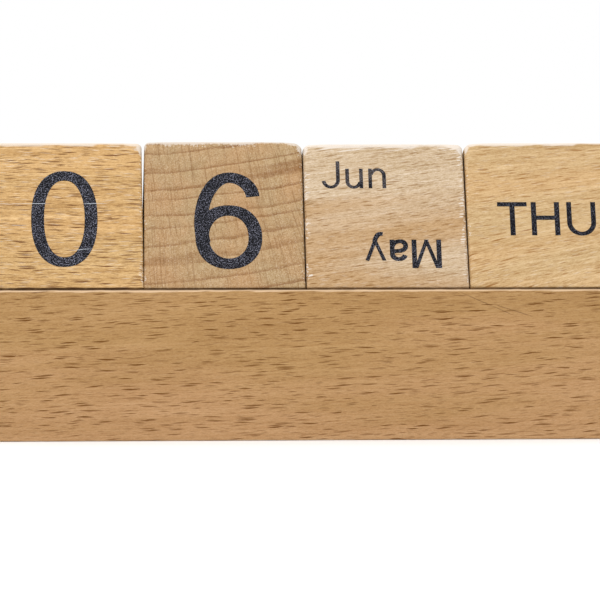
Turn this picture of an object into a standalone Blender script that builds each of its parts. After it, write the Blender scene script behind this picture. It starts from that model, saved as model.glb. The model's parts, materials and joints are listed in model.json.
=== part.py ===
"""Wooden block calendar: four loose beech blocks standing in a groove along a beech bar.

The groove is a right angle tilted back, so a block leans on its seat and its back rest and
shows its printed face to someone at the desk. Every block lifts out along its own upright.

Metres, +Z up, front facing -Y. The origin is the middle of the base's underside.
"""

import math
from typing import NamedTuple

import bpy
from mathutils import Euler, Matrix, Vector

# The base: a planed bar with the groove cut along the whole of its top.
BASE_LENGTH = 0.166
BASE_DEPTH = 0.055
BASE_HEIGHT = 0.0375
BASE_EDGE = 0.0004  # width of the eased edges
BASE_COLOUR = (0.474, 0.271, 0.119)
BASE_ROUGHNESS = 0.50
LAND = 0.0012  # flat strip left between the front face and the groove

# The blocks: nominal cubes with rounded edges, tilted back about X.
BLOCK_SIZE = 0.040
BLOCK_EDGE = 0.0010
BLOCK_TILT = math.radians(25.0)
BLOCK_ROUGHNESS = 0.55
BLOCK_GAP = 0.0004  # between neighbours in the row
REST_GAP = 0.0003  # between a block and the groove


class Block(NamedTuple):
    """One block. They are sanded by hand, so each is a little off the nominal cube."""

    name: str
    extra_width: float
    extra_height: float
    colour: tuple


# From left to right.
BLOCKS = (
    Block("tens_block", 0.0, 0.0, (0.638, 0.407, 0.188)),
    Block("units_block", 0.0001, 0.0003, (0.515, 0.333, 0.178)),
    Block("month_block", 0.0003, -0.0003, (0.630, 0.445, 0.262)),
    Block("weekday_block", 0.0001, 0.0, (0.672, 0.451, 0.227)),
)

COLLECTION_NAME = "wooden_block_calendar"
CUTTER_OVERLAP = 0.020  # how far the cutter reaches past the bar
SHARP_ANGLE = math.radians(30.0)


def clear_scene():
    """Remove every object, so that the script can be run again in an open file."""
    for old in list(bpy.data.objects):
        bpy.data.objects.remove(old, do_unlink=True)


def new_collection(name):
    collection = bpy.data.collections.new(name)
    bpy.context.scene.collection.children.link(collection)
    return collection


def finished_wood(name, colour, roughness):
    """A plain finished wood of one linear RGB colour."""
    material = bpy.data.materials.new(name)
    material.use_nodes = True
    shader = material.node_tree.nodes["Principled BSDF"]
    shader.inputs["Base Color"].default_value = (*colour, 1.0)
    shader.inputs["Roughness"].default_value = roughness
    shader.inputs["Metallic"].default_value = 0.0
    return material


def add_box(name, size, collection):
    """A box about its own origin, with its size held in the mesh and not in the scale."""
    bpy.ops.mesh.primitive_cube_add(size=1.0)
    box = bpy.context.object
    box.name = name
    box.data.name = name
    box.data.transform(Matrix.Diagonal((*size, 1.0)))
    for owner in list(box.users_collection):
        owner.objects.unlink(box)
    collection.objects.link(box)
    return box


def round_edges(target, width, segments):
    bevel = target.modifiers.new("rounded_edges", "BEVEL")
    bevel.width = width
    bevel.segments = segments
    bevel.limit_method = "ANGLE"
    bevel.angle_limit = SHARP_ANGLE


def in_groove(across, along_seat, up):
    """A point given along X, back along the seat and up off it, from the seat's front edge."""
    tilt = Euler((-BLOCK_TILT, 0.0, 0.0)).to_matrix()
    seat_front = Vector((0.0, LAND - BASE_DEPTH / 2, BASE_HEIGHT))
    return seat_front + tilt @ Vector((across, along_seat, up))


def add_groove_cutter(collection):
    """A tilted box whose underside is the seat and whose back is the back rest."""
    back_rest = BLOCK_SIZE + REST_GAP
    depth = back_rest + CUTTER_OVERLAP
    height = BLOCK_SIZE + CUTTER_OVERLAP
    length = BASE_LENGTH + 2 * CUTTER_OVERLAP
    cutter = add_box("groove_cutter", (length, depth, height), collection)
    cutter.rotation_euler = (-BLOCK_TILT, 0.0, 0.0)
    cutter.location = in_groove(0.0, back_rest - depth / 2, height / 2)
    cutter.hide_render = True
    cutter.display_type = "WIRE"
    return cutter


def add_base(collection, cutter):
    base = add_box("base", (BASE_LENGTH, BASE_DEPTH, BASE_HEIGHT), collection)
    base.location = (0.0, 0.0, BASE_HEIGHT / 2)
    groove = base.modifiers.new("groove", "BOOLEAN")
    groove.operation = "DIFFERENCE"
    groove.solver = "EXACT"
    groove.object = cutter
    round_edges(base, BASE_EDGE, 2)
    base.data.materials.append(finished_wood("base_beech", BASE_COLOUR, BASE_ROUGHNESS))


def add_block(block, left, collection):
    """One block standing square in the groove, with its left face at left."""
    width = BLOCK_SIZE + block.extra_width
    height = BLOCK_SIZE + block.extra_height
    made = add_box(block.name, (width, BLOCK_SIZE, height), collection)
    made.rotation_euler = (-BLOCK_TILT, 0.0, 0.0)
    made.location = in_groove(left + width / 2, BLOCK_SIZE / 2, REST_GAP + height / 2)
    round_edges(made, BLOCK_EDGE, 3)
    finish = finished_wood(block.name + "_beech", block.colour, BLOCK_ROUGHNESS)
    made.data.materials.append(finish)


def add_row(collection):
    """The row of blocks, centred on the bar."""
    wood = sum(BLOCK_SIZE + block.extra_width for block in BLOCKS)
    left = -(wood + BLOCK_GAP * (len(BLOCKS) - 1)) / 2
    for block in BLOCKS:
        add_block(block, left, collection)
        left += BLOCK_SIZE + block.extra_width + BLOCK_GAP


def main():
    clear_scene()
    parts = new_collection(COLLECTION_NAME)
    cutters = new_collection("cutters")
    add_base(parts, add_groove_cutter(cutters))
    add_row(parts)


main()
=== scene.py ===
"""The looks of the wooden block calendar: worn beech pieces, printed lettering, studio and camera."""

import json
import math
from typing import NamedTuple

import bmesh
import bpy
import numpy as np
from mathutils import Euler, Matrix, Vector, noise
from mathutils.geometry import delaunay_2d_cdt


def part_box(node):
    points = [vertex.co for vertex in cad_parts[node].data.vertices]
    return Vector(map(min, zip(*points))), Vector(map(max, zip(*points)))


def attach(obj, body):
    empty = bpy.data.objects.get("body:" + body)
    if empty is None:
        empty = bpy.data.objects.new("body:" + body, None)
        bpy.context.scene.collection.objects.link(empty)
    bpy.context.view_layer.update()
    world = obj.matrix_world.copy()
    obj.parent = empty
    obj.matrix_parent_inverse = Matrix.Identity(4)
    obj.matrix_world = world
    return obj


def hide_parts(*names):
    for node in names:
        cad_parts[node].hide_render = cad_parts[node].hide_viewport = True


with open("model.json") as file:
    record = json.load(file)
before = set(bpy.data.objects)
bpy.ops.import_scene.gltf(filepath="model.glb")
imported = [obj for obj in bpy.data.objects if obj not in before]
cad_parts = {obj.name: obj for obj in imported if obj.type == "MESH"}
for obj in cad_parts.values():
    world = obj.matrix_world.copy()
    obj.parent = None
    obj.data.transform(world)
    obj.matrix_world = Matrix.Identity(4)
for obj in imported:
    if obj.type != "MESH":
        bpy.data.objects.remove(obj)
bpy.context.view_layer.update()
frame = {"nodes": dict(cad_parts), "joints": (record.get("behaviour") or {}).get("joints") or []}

MM = 0.001

# The groove, as the CAD cuts it: the flat land in front of the seat, and the gap round a block.
LAND = 1.2 * MM
REST_GAP = 0.3 * MM

# The bar: its edges are eased, then dented unevenly by handling.
BASE_EDGE = 0.42 * MM
BASE_CUTS = 92  # short lengths that the bar is cut into, so that its edges can be dented
SHARP_ANGLE = math.radians(30.0)  # edges that turn by more than this are eased
SMOOTH_ANGLE = math.radians(40.0)  # and those that turn by less than this are shaded smooth
DENT_REACH = 0.6 * MM  # a point this close to two sides is on an edge
DENT_DEPTH = 0.14  # mm for each unit of noise over the start
DENT_START = 0.15  # noise above this makes a dent

# The blocks: their edges are rounded by hand, and chipped here and there.
BLOCK_EDGE = 0.95 * MM
EDGE_UNEVEN = 0.20  # how much of the rounding varies along an edge
FOOT_EDGE = 0.5  # the share of the rounding on the edge that a block stands on, at its front
CORNER_REACH = 3.5 * MM  # how far from a knocked corner its extra rounding dies away
CHIP_START = 0.35  # noise above this makes a chip
FULLNESS = 0.06 * MM  # how far a hand-sanded side swells out of the CAD's flat one
MESH_STEP = 0.8  # mm between mesh lines away from the edges

INK_PROUD = 0.025 * MM  # the print stands this far off the wood
INK_SUNK = 0.04 * MM  # and is let this far into it, so that no gap shows

FLOOR_EXTENT = 3.0  # metres from the middle of the floor to each side
FLOOR_GAP = 0.05 * MM  # the floor lies this far below the bar, so that the two faces stay apart

# The camera stands a little left of the middle and looks slightly down and to the right.
CAMERA_PLACE = (-0.0613, -1.0, 0.0766)
CAMERA_YAW = math.radians(3.50)
CAMERA_PITCH = math.radians(2.45)
CAMERA_LENS_MM = 235.7
CAMERA_SENSOR_MM = 36.0

# The blocks' own way up, and the turn from upright to tilted.
BLOCK_AXIS = Vector(frame["joints"][0]["axis"])
TILT = Euler((-math.atan2(BLOCK_AXIS.y, BLOCK_AXIS.z), 0.0, 0.0)).to_matrix().to_4x4()


# ---------------------------------------------------------------- materials


class Graph:
    """A material's nodes, wired up one call at a time. Values may be numbers or sockets."""

    def __init__(self, name):
        self.material = bpy.data.materials.new(name)
        self.material.use_nodes = True
        self.tree = self.material.node_tree
        self.shader = self.tree.nodes["Principled BSDF"]
        coordinates = self.node("ShaderNodeTexCoord").outputs
        self.place, self.facing = coordinates["Object"], coordinates["Normal"]

    def node(self, kind, **settings):
        made = self.tree.nodes.new(kind)
        for key, value in settings.items():
            setattr(made, key, value)
        return made

    def put(self, socket, value):
        """Link or set one input, or leave it as it is where value is None."""
        if isinstance(value, bpy.types.NodeSocket):
            self.tree.links.new(value, socket)
        elif value is not None:
            socket.default_value = value

    def math(self, operation, *values):
        made = self.node("ShaderNodeMath", operation=operation)
        for socket, value in zip(made.inputs, values):
            self.put(socket, value)
        return made.outputs[0]

    def add(self, first, *others):
        for other in others:
            first = self.math("ADD", first, other)
        return first

    def times(self, first, *others):
        for other in others:
            first = self.math("MULTIPLY", first, other)
        return first

    def mapped(self, vector, scale=(1, 1, 1), turn=(0, 0, 0), shift=(0, 0, 0)):
        made = self.node("ShaderNodeMapping")
        self.put(made.inputs["Vector"], vector)
        made.inputs["Scale"].default_value = scale
        made.inputs["Rotation"].default_value = turn
        made.inputs["Location"].default_value = shift
        return made.outputs[0]

    def split(self, vector):
        made = self.node("ShaderNodeSeparateXYZ")
        self.put(made.inputs[0], vector)
        return made.outputs

    def joined(self, x, y, z):
        made = self.node("ShaderNodeCombineXYZ")
        for socket, value in zip(made.inputs, (x, y, z)):
            self.put(socket, value)
        return made.outputs[0]

    def dot(self, first, second):
        made = self.node("ShaderNodeVectorMath", operation="DOT_PRODUCT")
        self.put(made.inputs[0], first)
        self.put(made.inputs[1], second)
        return made.outputs["Value"]

    def noise(self, vector, detail=2.0, roughness=0.5, output="Fac"):
        """Noise whose features are about one unit across. Its value averages a half."""
        made = self.node("ShaderNodeTexNoise")
        self.put(made.inputs["Vector"], vector)
        made.inputs["Scale"].default_value = 1.0
        made.inputs["Detail"].default_value = detail
        made.inputs["Roughness"].default_value = roughness
        return made.outputs[output]

    def cells(self, vector, exponent):
        """Flat cells one unit apart: the distance to a cell's own point, and its three random values."""
        made = self.node("ShaderNodeTexVoronoi", voronoi_dimensions="2D", distance="MINKOWSKI")
        self.put(made.inputs["Vector"], vector)
        made.inputs["Scale"].default_value = 1.0
        made.inputs["Exponent"].default_value = exponent
        return made.outputs["Distance"], self.split(made.outputs["Color"])

    def ease(self, value, low, high, to_low=0.0, to_high=1.0):
        """A smooth step from to_low at low to to_high at high."""
        made = self.node("ShaderNodeMapRange", interpolation_type="SMOOTHSTEP")
        for key, number in enumerate((value, low, high, to_low, to_high)):
            self.put(made.inputs[key], number)
        return made.outputs[0]

    def mix(self, share, first, second, blend="MIX"):
        """Two colours, each a socket or a tuple. The node keeps its colour inputs at 6 and 7."""
        made = self.node("ShaderNodeMix", data_type="RGBA", blend_type=blend)
        for key, value in ((0, share), (6, first), (7, second)):
            if isinstance(value, tuple):
                value = (*value, 1.0)
            self.put(made.inputs[key], value)
        return made.outputs[2]

    def bump(self, height, depth):
        """A normal for a height of 0 to 1, where 1 stands depth metres proud."""
        made = self.node("ShaderNodeBump")
        made.inputs["Distance"].default_value = depth
        self.put(made.inputs["Height"], height)
        return made.outputs[0]

    def surface(self, colour, roughness, sheen, normal=None):
        """Sheen is how strongly the surface mirrors: 0.5 is bare plastic, 0 is dead matt."""
        self.put(self.shader.inputs["Base Color"], colour)
        self.put(self.shader.inputs["Roughness"], roughness)
        self.put(self.shader.inputs["Specular IOR Level"], sheen)
        self.put(self.shader.inputs["Normal"], normal)
        return self.material


def srgb(red, green, blue):
    """A linear colour from its 0 to 255 display values."""
    channels = (value / 255.0 for value in (red, green, blue))
    return tuple(c / 12.92 if c <= 0.04045 else ((c + 0.055) / 1.055) ** 2.4 for c in channels)


# How brightly the studio lights a front face.
FRONT_LIGHT = 1.20


def seen(red, green, blue):
    """The colour of a surface that looks like this on a front face in the studio's light."""
    return tuple(channel / FRONT_LIGHT for channel in srgb(red, green, blue))


# How strongly each surface mirrors, and how deep its relief is.
WOOD_SHEEN, WOOD_RELIEF = 0.2, 0.05 * MM
INK_SHEEN, INK_RELIEF = 0.08, 0.02 * MM
FLOOR_SHEEN = 0.3

WEAR_AND_HIGHLIGHT_DEPTH = 0.85  # how fully a sanded edge takes its own colour; along the upper edges this also paints a highlight
# Painted shade in the gap under each block and along the groove's lip, with some dirt.
SHADE_AND_DIRT = seen(62, 32, 6)
INK_DARK = seen(3, 3, 6)
INK_LIGHT = seen(18, 17, 22)
INK_DUST = seen(152, 153, 170)
INK_FADED = seen(120, 108, 100)
INK_SCRATCHED = seen(190, 196, 204)
STAINED_SCRATCH = seen(70, 36, 10)
SCRATCH_ON_WOOD = 0.5  # how strongly a scratch shows on wood
SCRATCH_ON_INK = 0.75


class Timber(NamedTuple):
    """How one piece was cut from the log, and how its wood looks. Its lengths are in mm."""

    turn: tuple  # from the piece to the log: the log's X runs along its grain, Y away from its pith
    shift: tuple  # where the piece's middle lies in the log, in metres
    ground: tuple
    late: tuple  # latewood, the dark side of each ring
    ruddy: tuple  # soft redder patches
    fleck: tuple  # the short dark marks that rays leave
    worn: tuple  # sanded edges and raised fibres, and the painted highlight along upper edges
    ring: float  # from ring to ring
    ring_depth: float  # how strongly latewood shows
    fleck_length: float  # from fleck to fleck along the grain
    fleck_width: float  # and across it
    fleck_share: float  # the share of rays that show
    fleck_depth: float
    faint_depth: float  # the same for the finer flecks between them
    pale_depth: float  # fibres raised between the flecks
    fibre: float  # light and dark from fibre to fibre
    band: float  # and from one bundle of them to the next
    grain: float  # and in the finest specks
    wander: float  # how far the grain strays from straight
    rim: float  # sanded edge
    upper_rim_and_highlight: float  # the same round the top face, where hands wear it, and a painted highlight there
    shade_and_dirt: float  # how dark the painted shade and dirt are along one front edge
    cloud: float = 0.3  # light and dark in large patches
    swirl: float = 0.0  # how fast the grain's slant grows away from the rings' middle, per metre
    painted_floor_bounce: float = 0.0  # how much redder and lighter towards the underside, per metre: painted light bounced up from the floor
    corner_rim_and_highlight: float = 0.4  # more sanded edge at an upper corner, and a painted highlight there
    foot_rim: float = 0.0  # the share of it left round the underside, which stays dark
    torn: float = 0.8  # how far torn fibre ends reach in from an edge
    torn_share: float = 0.5  # the share of fibres that are torn
    dots: float = 0.0  # fine pale pores
    shade_and_dirt_side: float = -1.0  # -1 for painted shade and dirt along the edge of the underside, 1 for that of the top
    shade_and_dirt_reach: float = 0.25  # up or down from it


# The wood is worked out in the log's own space. A noise scale there is in features per mm along the
# grain, out from the pith and round the ring. Elsewhere a scale is in features per metre.


def log_place(g, timber):
    """A point's place in the log: along the grain, out from the pith, and round the ring, in mm."""
    straight = g.mapped(g.place, turn=timber.turn, shift=timber.shift)
    slow = g.noise(g.mapped(straight, scale=(14.0, 45.0, 45.0)), detail=1.0, output="Color")
    drifts = g.split(slow)
    x, y, z = g.split(straight)
    x0, y0, z0 = timber.shift
    z = g.add(z, g.times(g.add(x, -x0), g.add(z, -z0), timber.swirl))
    x = g.add(x, g.times(g.math("SUBTRACT", drifts[0], 0.5), timber.wander * 12.0 * MM))
    y = g.add(y, g.times(g.math("SUBTRACT", drifts[1], 0.5), timber.wander * 2.0 * MM))
    z = g.add(z, g.times(g.math("SUBTRACT", drifts[2], 0.5), timber.wander * 2.0 * MM))
    radius = g.math("SQRT", g.add(g.math("POWER", y, 2.0), g.math("POWER", z, 2.0)))
    angle = g.math("ARCTAN2", z, y)
    around = g.times(angle, math.hypot(y0, z0))
    return g.mapped(g.joined(x, radius, around), scale=(1 / MM, 1 / MM, 1 / MM))


def rings(g, wood, timber):
    """0 in earlywood, rising to 1 at the thin dark outer edge of each ring."""
    _, radius, _ = g.split(wood)
    spacing = g.noise(g.mapped(wood, scale=(0.01, 0.24, 0.015)), detail=1.0)
    wiggle = g.noise(g.mapped(wood, scale=(0.03, 0.20, 0.16)), detail=2.0)
    moved = g.add(radius, g.times(spacing, 7.0), g.times(wiggle, 1.5))
    part = g.math("FRACT", g.times(moved, 1.0 / timber.ring))
    close = g.ease(part, 1.0, 0.93)
    line = g.times(g.ease(part, 0.66, 0.93), close, 0.75)
    body = g.times(g.ease(part, 0.0, 0.93), close, 0.25)
    strength = g.noise(g.mapped(wood, scale=(0.02, 0.5, 0.05)), detail=1.0)
    return g.times(g.add(line, body), g.ease(strength, 0.3, 0.6, 0.45, 1.0))


def rays(g, wood, length, width, share, seed):
    """Rays run out from the pith: spindles on a flat-sawn face, thin lines on the end grain."""
    along, out, around = g.split(wood)
    sway = g.noise(g.mapped(wood, scale=(0.17, 0.03, 0.06), shift=(seed, 0, 0)), detail=1.0)
    around = g.add(around, g.times(sway, 1.1))
    place = g.joined(g.add(g.times(along, 1.0 / length), seed), g.times(around, 1.0 / width), 0.0)
    distance, (size, strength, kept) = g.cells(place, exponent=1.25)
    run = g.joined(g.times(out, 0.11), g.times(size, 60.0), g.times(kept, 60.0))
    presence = g.noise(run, detail=1.0)
    # Along its run a ray comes and goes: it shows where the noise is over this cut.
    cut = 0.5 + 0.26 * (0.5 - share)
    shown = g.ease(presence, cut - 0.02, cut + 0.06)
    reach = g.times(g.add(0.18, g.times(size, 0.24)), g.add(0.5, g.times(shown, 0.5)))
    spindle = g.ease(g.math("DIVIDE", distance, reach), 1.0, 0.7)
    return g.times(spindle, shown, g.add(0.4, g.times(strength, 0.6)))


def side_on(g, timber):
    """1 where a face is cut along the rays, so that they lie in it, and 0 where it cuts them off."""
    _, y, z = timber.shift
    round_ring = (0.0, -z / math.hypot(y, z), y / math.hypot(y, z))
    turned = g.mapped(g.facing, turn=timber.turn)
    return g.ease(g.math("ABSOLUTE", g.dot(turned, round_ring)), 0.45, 0.9)


def groove_depth(g, bottom):
    """How far a point lies under the groove's seat or behind its back rest, whichever is more."""
    offset = g.mapped(g.place, shift=tuple(-bottom))
    under = g.dot(offset, tuple(-BLOCK_AXIS))
    behind = g.dot(offset, tuple(TILT.to_3x3() @ Vector((0.0, 1.0, 0.0))))
    return g.math("MAXIMUM", under, behind)


def edge_wear_and_highlight(g, half, fibre, timber, groove):
    """1 along a piece's sanded edges, fading inwards, with torn fibres reaching further in. Round the
    top face it widens into a painted highlight as well as wear.
    """
    sides = [g.math("SUBTRACT", size, g.math("ABSOLUTE", value))
             for size, value in zip(half, g.split(g.place))]
    if groove is not None:
        sides.append(groove_depth(g, groove))
    # An edge is where the second nearest side is close by, and a corner where the third is. The
    # three start a metre off, further than any side.
    nearest = second = third = 1.0
    for side in sides:
        third = g.math("MINIMUM", third, g.math("MAXIMUM", second, side))
        second = g.math("MINIMUM", second, g.math("MAXIMUM", nearest, side))
        nearest = g.math("MINIMUM", nearest, side)
    patches = g.noise(g.mapped(g.place, scale=(170.0, 170.0, 170.0)), detail=2.0)
    split = 0.62 - 0.1 * timber.torn_share
    torn = g.times(g.ease(fibre, split, split + 0.1), g.ease(patches, 0.35, 0.55), timber.torn * MM)
    _, _, up = g.split(g.place)

    def to_top(lower, upper):
        """From one value to another over the last few millimetres below the top."""
        return g.ease(up, half.z - 4 * MM, half.z - MM, lower, upper)

    # Near the top and at upper corners the lighter edge is a painted highlight as well as wear.
    corner = g.times(g.ease(third, 5 * MM, 1.5 * MM), g.ease(up, -MM, MM), timber.corner_rim_and_highlight * MM)
    rim = to_top(timber.rim * MM, timber.upper_rim_and_highlight * MM)
    rim = g.times(rim, g.ease(patches, 0.30, 0.65, 0.4, 1.0))
    streak = g.times(g.math("SUBTRACT", fibre, 0.5), to_top(0.0, 1.0), MM)
    limit = g.add(rim, torn, corner, streak)
    limit = g.times(limit, g.ease(up, MM - half.z, 3 * MM - half.z, timber.foot_rim, 1.0))
    soft = to_top(0.12 * MM, 0.6 * timber.upper_rim_and_highlight * MM)
    return g.ease(g.math("SUBTRACT", second, limit), soft, -0.1 * MM)


def shade_and_dirt(g, half, timber):
    """1 in the painted shade and dirt along one front edge: a block's foot, or the lip of the bar's
    groove.
    """
    _, y, up = g.split(g.place)
    deep = g.math("SUBTRACT", half.z, g.times(up, timber.shade_and_dirt_side))
    reach = timber.shade_and_dirt_reach * MM
    unevenness = g.noise(g.mapped(g.place, scale=(260.0, 260.0, 260.0)), detail=2.0)
    near = g.times(g.ease(deep, reach, 0.5 * reach), g.ease(g.add(y, half.y), 4 * MM, 2 * MM))
    return g.times(near, g.ease(unevenness, 0.3, 0.55, 0.6, 1.0), timber.shade_and_dirt)


def beech(name, timber, half, scratches=(), scratched=None, groove=None):
    """Sanded beech, worked out through the whole thickness so that every face agrees."""
    g = Graph(name)
    wood = log_place(g, timber)
    late = rings(g, wood, timber)
    length, width, share = timber.fleck_length, timber.fleck_width, timber.fleck_share
    # Three sets of rays. The last number of each keeps their patterns apart.
    big = rays(g, wood, length, width, share, 0.0)
    small = rays(g, wood, 0.45 * length, 0.6 * width, 0.8, 31.7)
    pale = rays(g, wood, 0.6 * length, 0.7 * width, 0.5, 77.3)
    fleck = g.math("MAXIMUM", g.times(big, timber.fleck_depth), g.times(small, timber.faint_depth))
    fleck = g.times(fleck, g.ease(side_on(g, timber), 0.0, 1.0, 1.0, 0.3))
    fibre = g.noise(g.mapped(wood, scale=(0.07, 2.4, 2.4)), detail=2.0, roughness=0.6)
    band = g.noise(g.mapped(wood, scale=(0.02, 0.55, 0.55)), detail=2.0)
    grain = g.noise(g.mapped(wood, scale=(1.6, 4.0, 4.0)), detail=2.0, roughness=0.75)
    patch = g.noise(g.mapped(wood, scale=(0.012, 0.09, 0.09)), detail=2.0)
    _, _, up = g.split(g.place)
    # Painted floor bounce: the wood turns redder and lighter towards the underside.
    patch = g.add(patch, g.times(up, -timber.painted_floor_bounce))
    colour = g.mix(g.ease(patch, 0.32, 0.72), timber.ground, timber.ruddy)
    colour = g.mix(g.times(late, timber.ring_depth), colour, timber.late)
    light = g.add(1.0, g.times(g.math("SUBTRACT", fibre, 0.5), timber.fibre),
                  g.times(g.math("SUBTRACT", band, 0.5), timber.band),
                  g.times(g.math("SUBTRACT", patch, 0.5), timber.cloud),
                  g.times(g.math("SUBTRACT", grain, 0.5), timber.grain))
    # Wood turns browner as it darkens, so green and blue swing further than red.
    tint = g.joined(light, g.math("POWER", light, 1.35), g.math("POWER", light, 2.0))
    colour = g.mix(1.0, colour, tint, blend="MULTIPLY")
    colour = g.mix(g.times(pale, timber.pale_depth), colour, timber.worn)
    colour = g.mix(g.times(g.ease(grain, 0.58, 0.70), timber.dots), colour, timber.worn)
    colour = g.mix(fleck, colour, timber.fleck)
    # Lighter sanded edges, with a painted highlight along the upper edges.
    wear_and_highlight = edge_wear_and_highlight(g, half, fibre, timber, groove)
    colour = g.mix(g.times(wear_and_highlight, WEAR_AND_HIGHLIGHT_DEPTH), colour, timber.worn)
    for scratch in scratches:
        line = g.times(scratch_line(g, half, *scratch), SCRATCH_ON_WOOD)
        colour = g.mix(line, colour, scratched or timber.worn)
    # Painted shade, with some dirt, darkens the wood along the foot or the groove's lip.
    colour = g.mix(shade_and_dirt(g, half, timber), colour, SHADE_AND_DIRT)
    height = g.add(g.times(fibre, 0.5), g.times(grain, 0.3), g.times(fleck, -0.8))
    rough = g.add(0.52, g.times(fibre, 0.16), g.times(wear_and_highlight, 0.12))
    return g.surface(colour, rough, WOOD_SHEEN, g.bump(height, WOOD_RELIEF))


def scratch_line(g, half, height, start, end, slope):
    """A hairline across the front: its height where x is 0, its ends and its slope, in metres."""
    x, y, z = g.split(g.place)
    front = g.ease(y, MM - half.y, 0.5 * MM - half.y)
    waver = g.noise(g.mapped(g.place, scale=(90.0, 0.0, 0.0)), detail=2.0)
    line = g.add(g.times(x, slope), g.times(g.math("SUBTRACT", waver, 0.5), 0.5 * MM), height)
    across = g.math("ABSOLUTE", g.math("SUBTRACT", z, line))
    along = g.times(g.ease(x, start, start + 2 * MM), g.ease(x, end, end - 2 * MM))
    broken = g.noise(g.mapped(g.place, scale=(420.0, 0.0, 0.0), shift=(height, 0, 0)), detail=2.0)
    return g.times(g.ease(across, 0.15 * MM, 0.04 * MM), along, front, g.ease(broken, 0.3, 0.5))


def ink(name, half, speckle, faded, scratches=()):
    """Charcoal print, worn through to pale grains, and more so in the upper half if it is faded."""
    g = Graph(name)
    fine = g.noise(g.mapped(g.place, scale=(3300.0, 3300.0, 3300.0)), detail=2.0, roughness=0.6)
    cloud = g.noise(g.mapped(g.place, scale=(300.0, 300.0, 300.0)), detail=2.0)
    dust = g.times(g.ease(fine, 0.50, 0.64), g.ease(cloud, 0.25, 0.7, 0.4, 1.0), speckle)
    colour = g.mix(cloud, INK_DARK, INK_LIGHT)
    colour = g.mix(dust, colour, INK_DUST)
    _, _, up = g.split(g.place)
    worn = g.times(g.ease(up, -MM, MM), g.ease(cloud, 0.35, 0.6), faded)
    colour = g.mix(worn, colour, INK_FADED)
    for scratch in scratches:
        line = g.times(scratch_line(g, half, *scratch), SCRATCH_ON_INK)
        colour = g.mix(line, colour, INK_SCRATCHED)
    rough = g.add(0.6, g.times(fine, 0.25))
    return g.surface(colour, rough, INK_SHEEN, g.bump(fine, INK_RELIEF))


# ---------------------------------------------------------------- lettering

# Letters are drawn in thousandths of their em, with the cap height at 716.
CAP = 716.0
STEM, THIN = 45.0, 37.0  # half widths of upright and level strokes
ARC_STEP = 7.5  # degrees from point to point round an arc
BEND_STEPS = 12  # steps along a Bezier curve
SAME_POINT = 0.5  # where two runs meet nearer than this, they share the point
WELD = 0.05  # the triangulator merges points nearer than this
INSIDE_ONLY = 1  # and this makes it keep just the triangles that lie in a shape

# Cap heights in mm.
FIGURE_CAP = 25.6
WEEKDAY_CAP = 9.0
UPRIGHT_CAP = 7.45
TURNED_CAP = 7.5


def arc(x, y, width, height, start, end, square=2.0):
    """Points round an ellipse given by its half axes, from start to end in degrees."""
    steps = max(3, int(abs(end - start) / ARC_STEP))
    points = []
    for step in range(steps + 1):
        angle = math.radians(start + (end - start) * step / steps)
        cosine, sine = math.cos(angle), math.sin(angle)
        power = 2.0 / square
        points.append((x + width * math.copysign(abs(cosine) ** power, cosine),
                       y + height * math.copysign(abs(sine) ** power, sine)))
    return points


def bend(*controls):
    """Points along a Bezier curve of any degree."""
    points = []
    for step in range(BEND_STEPS + 1):
        level = [Vector(c) for c in controls]
        while len(level) > 1:
            level = [a.lerp(b, step / BEND_STEPS) for a, b in zip(level, level[1:])]
        points.append(tuple(level[0]))
    return points


def bar(left, bottom, right, top):
    """An upright or level stroke."""
    return [[(left, bottom), (right, bottom), (right, top), (left, top)]]


def slab(*corners):
    """A slanting stroke, by its four corners."""
    return [list(corners)]


def sweep(*runs):
    """A pen with a flat nib drawn along runs of points, as one four-sided shape per step."""
    path = [Vector(point) for run in runs for point in run]
    path = [p for i, p in enumerate(path) if i == 0 or (p - path[i - 1]).length > SAME_POINT]
    closed = (path[0] - path[-1]).length < 2 * SAME_POINT
    sides = []
    for i, point in enumerate(path):
        before = path[i - 1] if i else (path[-2] if closed else path[0])
        after = path[i + 1] if i + 1 < len(path) else (path[1] if closed else path[-1])
        way = (after - before).normalized()
        across = Vector((-way.y, way.x))
        reach = math.hypot(STEM * across.x, THIN * across.y)
        offset = Vector((STEM ** 2 * across.x, THIN ** 2 * across.y)) / reach
        sides.append((point + offset, point - offset))
    return [[tuple(a), tuple(b), tuple(d), tuple(c)]
            for (a, b), (c, d) in zip(sides, sides[1:])]


def ring(x, y, width, height, square=2.15):
    """A closed bowl."""
    return sweep(arc(x, y, width, height, 0, 360, square))


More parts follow.
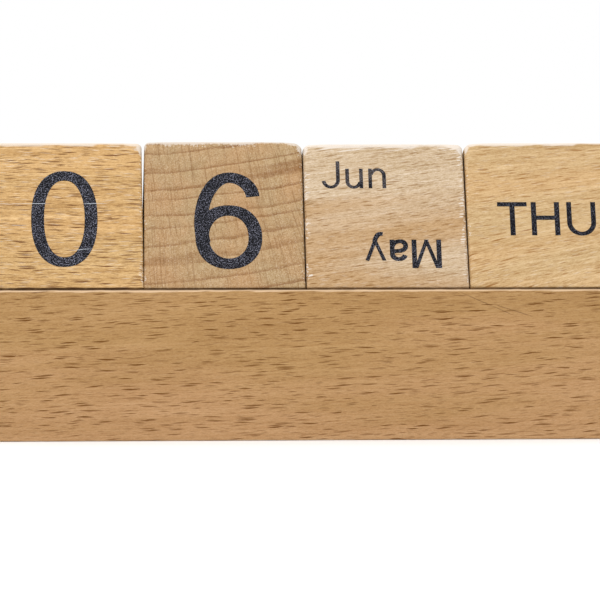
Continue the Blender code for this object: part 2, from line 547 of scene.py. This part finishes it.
# Each character's advance, and its strokes.
GLYPHS = {
    "0": (556, ring(275, 353.5, 186.5, 328.5, 2.3)),
    "1": (556, bar(285, 0, 373, 716) + sweep(bend((335, 700), (290, 615), (112, 518)))),
    "2": (556, bar(34, 0, 503, 84) + sweep(
        arc(268, 512, 172, 170, 176, 0),
        bend((440, 512), (436, 400), (310, 320), (180, 205), (90, 45)))),
    "3": (556, sweep(arc(262, 535, 155, 148, 170, -90)) + sweep(arc(262, 206, 195, 180, 90, -168))
          + bar(205, 350, 262, 424)),
    "4": (556, bar(323, 0, 411, 716) + bar(12, 171, 508, 252)
          + slab((12, 252), (108, 252), (330, 580), (339, 716))),
    "5": (556, bar(129, 623, 485, 707) + slab((59, 340), (146, 331), (206, 640), (129, 707))
          + sweep(arc(272, 230, 196, 206, 150, -168))),
    "6": (556, ring(283, 228, 186, 203) + sweep(
        arc(290, 522, 168, 161, 6, 90), arc(290, 330, 200, 353, 90, 204))),
    "7": (556, bar(47, 622, 511, 707)
          + sweep(bend((462, 655), (345, 520), (215, 300), (192, 0)))),
    "8": (556, ring(277, 536, 152, 147) + ring(277, 206, 192, 181)),
    "A": (667, slab((-1, 0), (101, 0), (355, 716), (274, 716)) + bar(150, 217, 510, 294)
          + slab((559, 0), (669, 0), (376, 716), (300, 716))),
    "D": (722, bar(79, 0, 174, 716) + sweep(
        [(130, 674)], arc(312, 358, 308, 316, 90, -90, 2.1), [(130, 42)])),
    "E": (667, bar(79, 0, 174, 716) + bar(79, 631, 597, 716) + bar(79, 328, 570, 412)
          + bar(79, 0, 613, 85)),
    "F": (611, bar(82, 0, 177, 716) + bar(82, 631, 565, 716) + bar(82, 325, 513, 410)),
    "H": (722, bar(80, 0, 175, 716) + bar(547, 0, 642, 716) + bar(80, 337, 642, 422)),
    "I": (278, bar(93, 0, 188, 716)),
    "J": (500, sweep([(384, 716)], arc(208, 222, 176, 191, 0, -172))),
    "M": (833, bar(74, 0, 166, 716) + bar(667, 0, 759, 716)
          + slab((371, 0), (462, 0), (217, 716), (122, 716))
          + slab((371, 0), (462, 0), (712, 716), (618, 716))),
    "N": (722, bar(76, 0, 167, 716) + bar(549, 0, 640, 716)
          + slab((543, 0), (640, 0), (173, 716), (76, 716))),
    "O": (778, ring(389, 353, 294, 326)),
    "R": (722, bar(79, 0, 174, 716)
          + sweep([(126, 676)], arc(432, 518, 186, 158, 90, -90), [(126, 360)])
          + slab((592, 0), (708, 0), (440, 345), (330, 345))),
    "S": (667, sweep(arc(332, 524, 222, 160, -8, 180),
                     bend((110, 524), (112, 390), (250, 385), (345, 360)),
                     bend((345, 360), (470, 330), (578, 310), (578, 196)),
                     arc(338, 196, 240, 168, 0, -187))),
    "T": (611, bar(260, 0, 355, 716) + bar(14, 631, 601, 716)),
    "U": (722, sweep([(119, 716)], arc(361, 272, 242, 243, 180, 360), [(603, 716)])),
    "W": (944, slab((202, 0), (300, 0), (109, 716), (12, 716))
          + slab((202, 0), (300, 0), (525, 716), (425, 716))
          + slab((642, 0), (740, 0), (525, 716), (417, 716))
          + slab((642, 0), (740, 0), (932, 716), (837, 716))),
    "a": (556, sweep(arc(252, 362, 154, 133, 168, 0), [(406, 0)]) + sweep(
        bend((406, 305), (330, 280), (215, 282)), arc(212, 150, 130, 121, 98, 270),
        bend((212, 29), (330, 32), (402, 95), (406, 190)))),
    "b": (556, bar(66, 0, 154, 716) + ring(288, 259, 180, 235)),
    "c": (500, sweep(arc(266, 259, 184, 236, 36, 322))),
    "e": (556, sweep(arc(276, 259, 194, 236, 0, 324)) + bar(84, 226, 494, 296)),
    "g": (556, ring(264, 265, 180, 230) + sweep([(452, 519)], arc(268, -28, 184, 150, 0, -162))),
    "l": (222, bar(64, 0, 152, 716)),
    "n": (556, bar(66, 0, 154, 519) + sweep(arc(290, 335, 157, 160, 170, 0), [(447, 0)])),
    "o": (556, ring(277, 259, 196, 235)),
    "p": (556, bar(66, -199, 154, 519) + ring(288, 259, 180, 235)),
    "r": (333, bar(65, 0, 153, 519) + sweep(arc(262, 330, 142, 163, 172, 60))),
    "t": (278, bar(18, 451, 258, 519)
          + sweep([(126, 672)], arc(220, 140, 94, 103, 180, 290))),
    "u": (556, bar(402, 0, 490, 519) + sweep([(110, 519)], arc(262, 184, 152, 158, 180, 352))),
    "v": (500, slab((206, 0), (292, 0), (103, 519), (10, 519))
          + slab((206, 0), (292, 0), (486, 519), (396, 519))),
    "y": (500, slab((212, -6), (296, 4), (103, 519), (10, 519)) + sweep(
        [(444, 519), (268, 28)], bend((268, 28), (205, -150), (165, -172), (78, -160)))),
}


def counterclockwise(corners):
    area = sum(a[0] * b[1] - b[0] * a[1] for a, b in zip(corners, corners[1:] + corners[:1]))
    return corners if area > 0 else corners[::-1]


def letter_shapes(word, bold):
    """The word's overlapping shapes, its baseline at 0, its ink centred on x = 0."""
    shapes, pen = [], 0.0
    for letter in word:
        advance, strokes = GLYPHS[letter]
        shapes += [[(x + pen, y) for x, y in stroke] for stroke in strokes]
        pen += advance
    xs = [x for shape in shapes for x, _ in shape]
    middle = (min(xs) + max(xs)) / 2
    centred = [counterclockwise([(x - middle, y) for x, y in shape]) for shape in shapes]
    return [thicken(shape, bold) for shape in centred] if bold else centred


def thicken(shape, by):
    """Push a convex shape's corners out from its middle, for a heavier print."""
    middle = sum((Vector(point) for point in shape), Vector((0.0, 0.0))) / len(shape)
    grown = []
    for point in shape:
        away = Vector(point) - middle
        grown.append((point[0] + math.copysign(by, away.x), point[1] + math.copysign(by, away.y)))
    return grown


class Print(NamedTuple):
    """One word or figure on a face, in mm from the middle of the face."""

    word: str
    cap: float  # cap height
    right: float  # the middle of the word
    up: float  # the middle of its capitals
    turned: bool = False  # upside down
    bold: float = 0.0  # how far its strokes are thickened, in thousandths of the em


def printed(face_print, to_face):
    """The word's ink as a thin closed slab: points in the block's own frame, and faces."""
    scale = face_print.cap / CAP * MM
    shapes = letter_shapes(face_print.word, face_print.bold)
    points, polygons = [], []
    for shape in shapes:
        polygons.append(list(range(len(points), len(points) + len(shape))))
        points += [Vector(point) for point in shape]
    flat, _, cut, _, _, owners = delaunay_2d_cdt(points, [], polygons, INSIDE_ONLY, WELD)
    triangles = [triangle for triangle, owner in zip(cut, owners) if owner]
    spin = -1.0 if face_print.turned else 1.0
    around = Vector((face_print.right * MM, face_print.up * MM))
    placed = [around + spin * scale * (p - Vector((0.0, CAP / 2))) for p in flat]
    count = len(placed)
    solid = [to_face @ Vector((p.x, p.y, height))
             for height in (INK_PROUD, -INK_SUNK) for p in placed]
    directed = {(a, b) for t in triangles for a, b in zip(t, t[1:] + t[:1])}
    faces = [list(t) for t in triangles] + [[i + count for i in t[::-1]] for t in triangles]
    faces += [[b, a, a + count, b + count] for a, b in directed if (b, a) not in directed]
    return solid, faces


def face_frame(size, normal, up):
    """From a face's own right, up and outward directions to the block's frame."""
    normal, up = Vector(normal), Vector(up)
    right = up.cross(normal)
    middle = Vector(n * s / 2 for n, s in zip(normal, size))
    return Matrix.Translation(middle) @ Matrix((right, up, normal)).transposed().to_4x4()


# Front, right, back, left, top and underside: the outward direction, then the way up.
SIDES = (
    ((0, -1, 0), (0, 0, 1)),
    ((1, 0, 0), (0, 0, 1)),
    ((0, 1, 0), (0, 0, 1)),
    ((-1, 0, 0), (0, 0, 1)),
    ((0, 0, 1), (0, 1, 0)),
    ((0, 0, -1), (0, -1, 0)),
)


def figure(digit, right=0.7, up=-0.9, bold=0.0):
    """One large numeral, in the middle of a face."""
    return (Print(digit, FIGURE_CAP, right, up, bold=bold),)


def weekday(word):
    """One word, in the middle of a face."""
    return (Print(word, WEEKDAY_CAP, 0.1, -1.2, bold=4.0),)


def pair(upright, turned):
    """Two words on one face: one at its top left, the other upside down at its bottom right."""
    return (Print(upright, UPRIGHT_CAP, -7.6, 11.1),
            Print(turned, TURNED_CAP, 4.2, -10.6, turned=True, bold=12.0))


# The print on each block's sides, in the order of SIDES.
FACES = {
    "tens_block": [figure(d) for d in "034521"],
    "units_block": [figure("6", 1.1, -1.6, 3.0)] + [figure(d) for d in "01278"],
    "month_block": [pair("Jun", "May"), pair("Aug", "Jul"), pair("Dec", "Nov"),
                    pair("Feb", "Jan"), pair("Apr", "Mar"), pair("Oct", "Sep")],
    "weekday_block": [weekday(word) for word in ("THU", "FRI", "MON", "WED")]
    + [pair("SAT", "SUN"), weekday("TUE")],
}


# ---------------------------------------------------------------- meshes


def object_of(mesh, material, place):
    """A new object in the scene, named as its mesh is."""
    mesh.materials.append(material)
    made = bpy.data.objects.new(mesh.name, mesh)
    bpy.context.scene.collection.objects.link(made)
    made.matrix_world = place
    return made


def mesh_object(name, points, faces, material, place):
    mesh = bpy.data.meshes.new(name)
    mesh.from_pydata([tuple(p) for p in points], [], faces)
    mesh.validate()
    return object_of(mesh, material, place)


def block_place(node):
    """A tilted block's size along its own directions, and its place in the world."""
    points = np.array([v.co for v in frame["nodes"][node].data.vertices])
    turned = points @ np.array(TILT.to_3x3())
    low, high = turned.min(axis=0), turned.max(axis=0)
    return Vector(high - low), TILT @ Matrix.Translation(Vector((low + high) / 2))


def edge_lines(half):
    """Where the mesh lines run across one side: close together at the edges for their rounding."""
    close = [0.0, 0.1, 0.22, 0.35, 0.5, 0.65, 0.82, 1.0, 1.25, 1.6]  # mm in from the edge
    inner = half / MM - close[-1]
    steps = round(2 * inner / MESH_STEP)
    middle = [-inner + 2 * inner * i / steps for i in range(1, steps)]
    edge = [half / MM - c for c in close]
    return np.array([-e for e in edge] + middle + edge[::-1]) * MM


def box_shell(lines):
    """The outer grid of a box: its points, and its four-sided faces turned outwards."""
    number, points, faces = {}, [], []

    def corner(index):
        if index not in number:
            number[index] = len(points)
            points.append([lines[axis][index[axis]] for axis in range(3)])
        return number[index]

    for axis in range(3):
        u, v = (axis + 1) % 3, (axis + 2) % 3
        for side in (0, len(lines[axis]) - 1):
            for i in range(len(lines[u]) - 1):
                for j in range(len(lines[v]) - 1):
                    quad = []
                    for di, dj in ((0, 0), (1, 0), (1, 1), (0, 1)):
                        index = [0, 0, 0]
                        index[axis], index[u], index[v] = side, i + di, j + dj
                        quad.append(corner(tuple(index)))
                    faces.append(quad if side else quad[::-1])
    return np.array(points), faces


def worn_corner(point, half, seed, slack, corners):
    """Round one point of a sharp box to a hand-sanded edge, softer in places, with small chips."""
    where = Vector(point)
    soft = noise.noise(where * 140.0 + seed)
    radius = BLOCK_EDGE * (1.0 + EDGE_UNEVEN * soft)
    if where.y < 2 * BLOCK_EDGE - half.y and where.z < 2 * BLOCK_EDGE - half.z:
        radius *= FOOT_EDGE
    for x, y, z, extra in corners:
        corner = Vector((x * half.x, y * half.y, z * half.z))
        radius += extra * MM * math.exp(-((where - corner).length / CORNER_REACH) ** 2)
    inner = Vector(max(-h + radius, min(h - radius, c)) for c, h in zip(where, half))
    out = where - inner
    rounded = sum(abs(c) > 0.2 * radius for c in out)
    if out.length > 0:
        where = inner + out.normalized() * radius
    # A point that is rounded in two directions lies on an edge, and may be chipped.
    if rounded > 1:
        bite = noise.noise(where * 620.0 - seed) + 0.5 * noise.noise(where * 1500.0 + seed)
        where -= out.normalized() * max(0.0, bite - CHIP_START) * slack
    return where


class Skew(NamedTuple):
    """How far out of square one side of a block is: the mm sanded off its foot, top and back.

    A number below 0 leaves that much more wood on.
    """

    side: float  # 1 for the right side, -1 for the left
    foot: float
    top: float
    back: float


def sanded(points, half, skew):
    """Swell the block's left and right sides a little, and plane one of them out of square."""
    points[:, 0] *= 1 + FULLNESS / half.x
    share = np.clip(points[:, 0] * skew.side / half.x, 0.0, 1.0)
    up = (points[:, 2] / half.z + 1) / 2
    back = (points[:, 1] / half.y + 1) / 2
    off = skew.foot * (1 - up) + skew.top * up + skew.back * back
    points[:, 0] -= skew.side * share * off * MM
    return points


def worn_block(name, look):
    """One block of wood, with its size and its place."""
    node = look.node
    size, place = block_place(node)
    half = size / 2
    # The seed gives each block its own part of the noise.
    seed = Vector((len(name), len(node) * 1.7, sum(map(ord, node)) * 0.37))
    points, faces = box_shell([edge_lines(h) for h in half])
    slack = look.chips * MM
    points = np.array([worn_corner(p, half, seed, slack, look.corners) for p in points])
    points = sanded(points, half, look.skew)
    material = beech(name, TIMBER[node], half, look.scratches)
    made = mesh_object(name, points, faces, material, place)
    made.data.shade_smooth()
    return made, size, place


def lettering(name, look, size, place, material):
    """All the print on one block. On its left and right sides it follows the sanded wood."""
    points, faces = [], []
    for (normal, up), prints in zip(SIDES, FACES[look.node]):
        to_face = face_frame(size, normal, up)
        for face_print in prints:
            solid, slabs = printed(face_print, to_face)
            if normal[0]:
                solid = list(sanded(np.array(solid), size / 2, look.skew))
            faces += [[i + len(points) for i in f] for f in slabs]
            points += solid
    return mesh_object(name, points, faces, material, place)


def groove_bottom():
    """A point on the line where the groove's seat meets its back rest."""
    size, place = block_place("tens_block")
    return place @ Vector((0.0, size.y / 2 + REST_GAP, -size.z / 2 - REST_GAP))


def base_box():
    """The bar's middle, and half its size."""
    low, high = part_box("base")
    return (low + high) / 2, (high - low) / 2


def base_outline():
    """The bar's end profile, as (y, z) corners from its front foot, going up and over."""
    low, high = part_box("base")
    groove = groove_bottom()
    rest_back = groove.y + BLOCK_AXIS.y * (high.z - groove.z) / BLOCK_AXIS.z
    return [(low.y, low.z), (low.y, high.z), (low.y + LAND, high.z), (groove.y, groove.z),
            (rest_back, high.z), (high.y, high.z), (high.y, low.z)]


def worn_base(name, material):
    """The grooved bar: its profile drawn along X, cut into short lengths, eased and worn."""
    middle, half = base_box()
    bm = bmesh.new()
    outline = [bm.verts.new((-half.x, y - middle.y, z - middle.z)) for y, z in base_outline()]
    drawn = bmesh.ops.extrude_face_region(bm, geom=[bm.faces.new(outline)])
    moved = [v for v in drawn["geom"] if isinstance(v, bmesh.types.BMVert)]
    bmesh.ops.translate(bm, verts=moved, vec=(2 * half.x, 0.0, 0.0))
    bmesh.ops.recalc_face_normals(bm, faces=bm.faces[:])
    for i in range(1, BASE_CUTS):
        at = half.x * (2 * i / BASE_CUTS - 1)
        bmesh.ops.bisect_plane(bm, geom=bm.verts[:] + bm.edges[:] + bm.faces[:],
                               plane_co=(at, 0, 0), plane_no=(1, 0, 0))
    sharp = [e for e in bm.edges if e.is_manifold and e.calc_face_angle() > SHARP_ANGLE]
    bmesh.ops.bevel(bm, geom=sharp, offset=BASE_EDGE, segments=4, profile=0.5, affect="EDGES")
    bm.normal_update()
    for vertex in bm.verts:
        where = vertex.co
        wave = noise.noise(where * 90.0) + 0.6 * noise.noise(where * 420.0)
        near = sum(h - abs(c) < DENT_REACH for c, h in zip(where, half))
        if near > 1:
            vertex.co = where - vertex.normal * max(0.0, wave - DENT_START) * DENT_DEPTH * MM
    mesh = bpy.data.meshes.new(name)
    bm.to_mesh(mesh)
    bm.free()
    mesh.shade_smooth()
    mesh.set_sharp_from_angle(angle=SMOOTH_ANGLE)
    return object_of(mesh, material, Matrix.Translation(middle))


# ---------------------------------------------------------------- the pieces

# The wood of each CAD node that a worn piece stands for.
TIMBER = {
    "base": Timber(
        turn=(math.radians(14), math.radians(2.5), 0.0), shift=(0.31, 0.115, 0.02),
        ground=seen(184, 144, 93), late=seen(162, 120, 70), ruddy=seen(190, 147, 101),
        fleck=seen(112, 66, 4), worn=seen(229, 197, 160),
        ring=4.2, ring_depth=0.2, fleck_length=7.4, fleck_width=0.74, fleck_share=0.6,
        fleck_depth=1.0, faint_depth=0.4, pale_depth=0.1,
        fibre=0.4, band=0.2, cloud=0.2, grain=0.55, wander=1.5,
        painted_floor_bounce=12.0, rim=0.3, upper_rim_and_highlight=0.32, corner_rim_and_highlight=0.2, foot_rim=0.7, torn=0.0,
        shade_and_dirt=0.7, shade_and_dirt_side=1.0, shade_and_dirt_reach=0.22),
    "tens_block": Timber(
        turn=(math.radians(6), 0.0, 0.0), shift=(0.12, 0.10, 0.013),
        ground=seen(205, 168, 114), late=seen(176, 136, 80), ruddy=seen(200, 158, 102),
        fleck=seen(104, 56, 4), worn=seen(226, 213, 198),
        ring=3.0, ring_depth=0.2, fleck_length=7.0, fleck_width=0.62, fleck_share=0.85,
        fleck_depth=1.0, faint_depth=0.5, pale_depth=0.5,
        fibre=0.85, band=0.6, grain=0.8, wander=0.3,
        rim=0.1, upper_rim_and_highlight=0.9, corner_rim_and_highlight=0.15, shade_and_dirt=0.85, shade_and_dirt_reach=0.4),
    "units_block": Timber(
        turn=(0.0, 0.0, math.radians(90)), shift=(0.23, 0.031, -0.208),
        ground=seen(180, 152, 112), late=seen(127, 80, 30), ruddy=seen(179, 141, 98),
        fleck=seen(120, 78, 30), worn=seen(216, 204, 190),
        ring=4.2, ring_depth=0.68, fleck_length=3.5, fleck_width=0.7, fleck_share=0.9,
        fleck_depth=0.4, faint_depth=0.3, pale_depth=0.05, dots=0.35,
        fibre=0.7, band=0.3, grain=1.0, cloud=0.2, wander=0.9, rim=0.15, upper_rim_and_highlight=0.8, shade_and_dirt=0.7),
    "month_block": Timber(
        turn=(math.radians(-9), math.radians(8.5), 0.0), shift=(0.47, 0.13, -0.03),
        ground=seen(208, 186, 157), late=seen(178, 142, 98), ruddy=seen(182, 146, 103),
        fleck=seen(132, 86, 14), worn=seen(230, 219, 207),
        ring=3.3, ring_depth=0.25, fleck_length=5.5, fleck_width=0.7, fleck_share=0.6,
        fleck_depth=0.75, faint_depth=0.45, pale_depth=0.25, fibre=0.7, band=0.25, grain=0.75,
        wander=1.0, painted_floor_bounce=11.0, rim=0.1, upper_rim_and_highlight=1.2, torn=1.4, torn_share=0.9, shade_and_dirt=0.5),
    "weekday_block": Timber(
        turn=(math.radians(12), math.radians(9), 0.0), shift=(0.66, 0.09, 0.01),
        ground=seen(201, 171, 126), late=seen(184, 146, 94), ruddy=seen(198, 161, 112),
        fleck=seen(144, 90, 12), worn=seen(230, 219, 207),
        ring=3.6, ring_depth=0.35, fleck_length=6.0, fleck_width=0.75, fleck_share=0.5,
        fleck_depth=0.8, faint_depth=0.4, pale_depth=0.25, fibre=0.75, band=0.25, grain=0.7,
        wander=1.3, swirl=4.0, rim=0.1, upper_rim_and_highlight=0.9, corner_rim_and_highlight=0.6, torn=1.0, shade_and_dirt=0.6),
}

# Hairlines on the tens block's face, seen on wood and ink alike: height, ends, slope.
TENS_SCRATCHES = (
    (3.1 * MM, -22.0 * MM, -2.5 * MM, 0.0),
    (3.1 * MM, 4.5 * MM, 12.0 * MM, 0.0),
    (-2.8 * MM, -14.0 * MM, -8.0 * MM, 0.0),
    (-9.9 * MM, 1.4 * MM, 7.8 * MM, 0.1),
)

# And on the bar, below the weekday block.
BASE_SCRATCHES = (
    (34.2 * MM, 38.0 * MM, 52.0 * MM, -0.426),
    (29.9 * MM, 46.0 * MM, 57.0 * MM, -0.32),
)


class Look(NamedTuple):
    """What sets one block apart."""

    node: str
    body: str
    slot: str
    speckle: float  # how much pale dust shows in its ink
    skew: Skew
    faded: float = 0.0  # how faded the upper half of its ink is
    chips: float = 0.2  # how deep its edges are chipped, in mm
    scratches: tuple = ()
    corners: tuple = ()  # corners knocked rounder: which side of X, Y and Z, and how much, in mm


# From left to right.
LOOKS = (
    Look("tens_block", "tens", "block_beech", 0.8, skew=Skew(1, -0.26, -0.1, 0.0),
         scratches=TENS_SCRATCHES, corners=((1, -1, 1, 0.4), (-1, 1, 1, 0.8))),
    Look("units_block", "units", "block_end_grain", 0.68, skew=Skew(-1, 0.0, 0.5, 0.3),
         corners=((-1, -1, 1, 0.4), (1, -1, 1, 1.2), (1, 1, -1, 0.7))),
    Look("month_block", "month", "block_beech", 0.5, faded=0.22, skew=Skew(1, -0.2, 0.0, 0.0),
         chips=0.6, corners=((-1, -1, 1, 0.9), (1, -1, 1, 0.5), (1, 1, 1, 0.9))),
    Look("weekday_block", "weekday", "block_beech", 0.35, skew=Skew(-1, 0.17, 0.15, 0.0),
         corners=((-1, -1, 1, 1.1), (-1, -1, -1, 0.4), (1, 1, 1, 0.6))),
)


def settle(piece, body, node=None):
    """Tie a piece to its body, and hide the CAD node that it stands for, if any."""
    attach(piece, body)
    if node:
        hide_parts(node)


def add_pieces():
    """The bar, and the four blocks with their print."""
    middle, half = base_box()
    groove = groove_bottom() - middle
    material = beech("base_wood", TIMBER["base"], half, BASE_SCRATCHES, STAINED_SCRATCH, groove)
    settle(worn_base("base_bar", material), "base", "base")
    for look in LOOKS:
        name = look.node + "_wood"
        block, size, place = worn_block(name, look)
        settle(block, look.body, look.node)
        print_ink = ink(look.node + "_ink", size / 2, look.speckle, look.faded, look.scratches)
        words = lettering(look.node + "_print", look, size, place, print_ink)
        settle(words, look.body)


# ---------------------------------------------------------------- studio


def add_floor():
    """A plain pale floor under the bar."""
    g = Graph("pale_floor")
    soft = g.noise(g.mapped(g.place, scale=(9.0, 9.0, 9.0)), detail=2.0)
    colour = g.mix(soft, (0.78, 0.78, 0.78), (0.81, 0.81, 0.81))
    g.surface(colour, 0.7, FLOOR_SHEEN)
    corners = ((-1, -1), (1, -1), (1, 1), (-1, 1))
    points = [(x * FLOOR_EXTENT, y * FLOOR_EXTENT, 0) for x, y in corners]
    below = Matrix.Translation((0.0, 0.0, -FLOOR_GAP))
    mesh_object("floor", points, [[0, 1, 2, 3]], g.material, below)


def add_light(name, place, target, size, watts):
    data = bpy.data.lights.new(name, "AREA")
    data.shape = "DISK"
    data.size = size
    data.energy = watts
    light = bpy.data.objects.new(name, data)
    bpy.context.scene.collection.objects.link(light)
    light.location = place
    light.rotation_euler = (Vector(target) - Vector(place)).to_track_quat("-Z", "Y").to_euler()


def add_studio():
    """An even white surround, and one large soft light high up in front."""
    world = bpy.data.worlds.new("studio")
    bpy.context.scene.world = world
    world.use_nodes = True
    surround = world.node_tree.nodes["Background"].inputs
    surround["Color"].default_value = (1.0, 1.0, 1.0, 1.0)
    surround["Strength"].default_value = 1.0
    add_light("top_softbox", (-0.25, -0.35, 1.1), (0, 0, 0.03), 0.9, 9.0)
    bpy.context.scene.view_settings.view_transform = "Standard"


def add_camera():
    """A long lens, a metre in front of the bar's middle line."""
    data = bpy.data.cameras.new("camera")
    data.sensor_width = CAMERA_SENSOR_MM
    data.lens = CAMERA_LENS_MM
    data.clip_start = 0.01
    data.dof.use_dof = False
    camera = bpy.data.objects.new("camera", data)
    bpy.context.scene.collection.objects.link(camera)
    camera.location = CAMERA_PLACE
    camera.rotation_euler = (math.radians(90) - CAMERA_PITCH, 0.0, -CAMERA_YAW)
    bpy.context.scene.camera = camera


add_camera()
add_studio()
add_floor()
add_pieces()
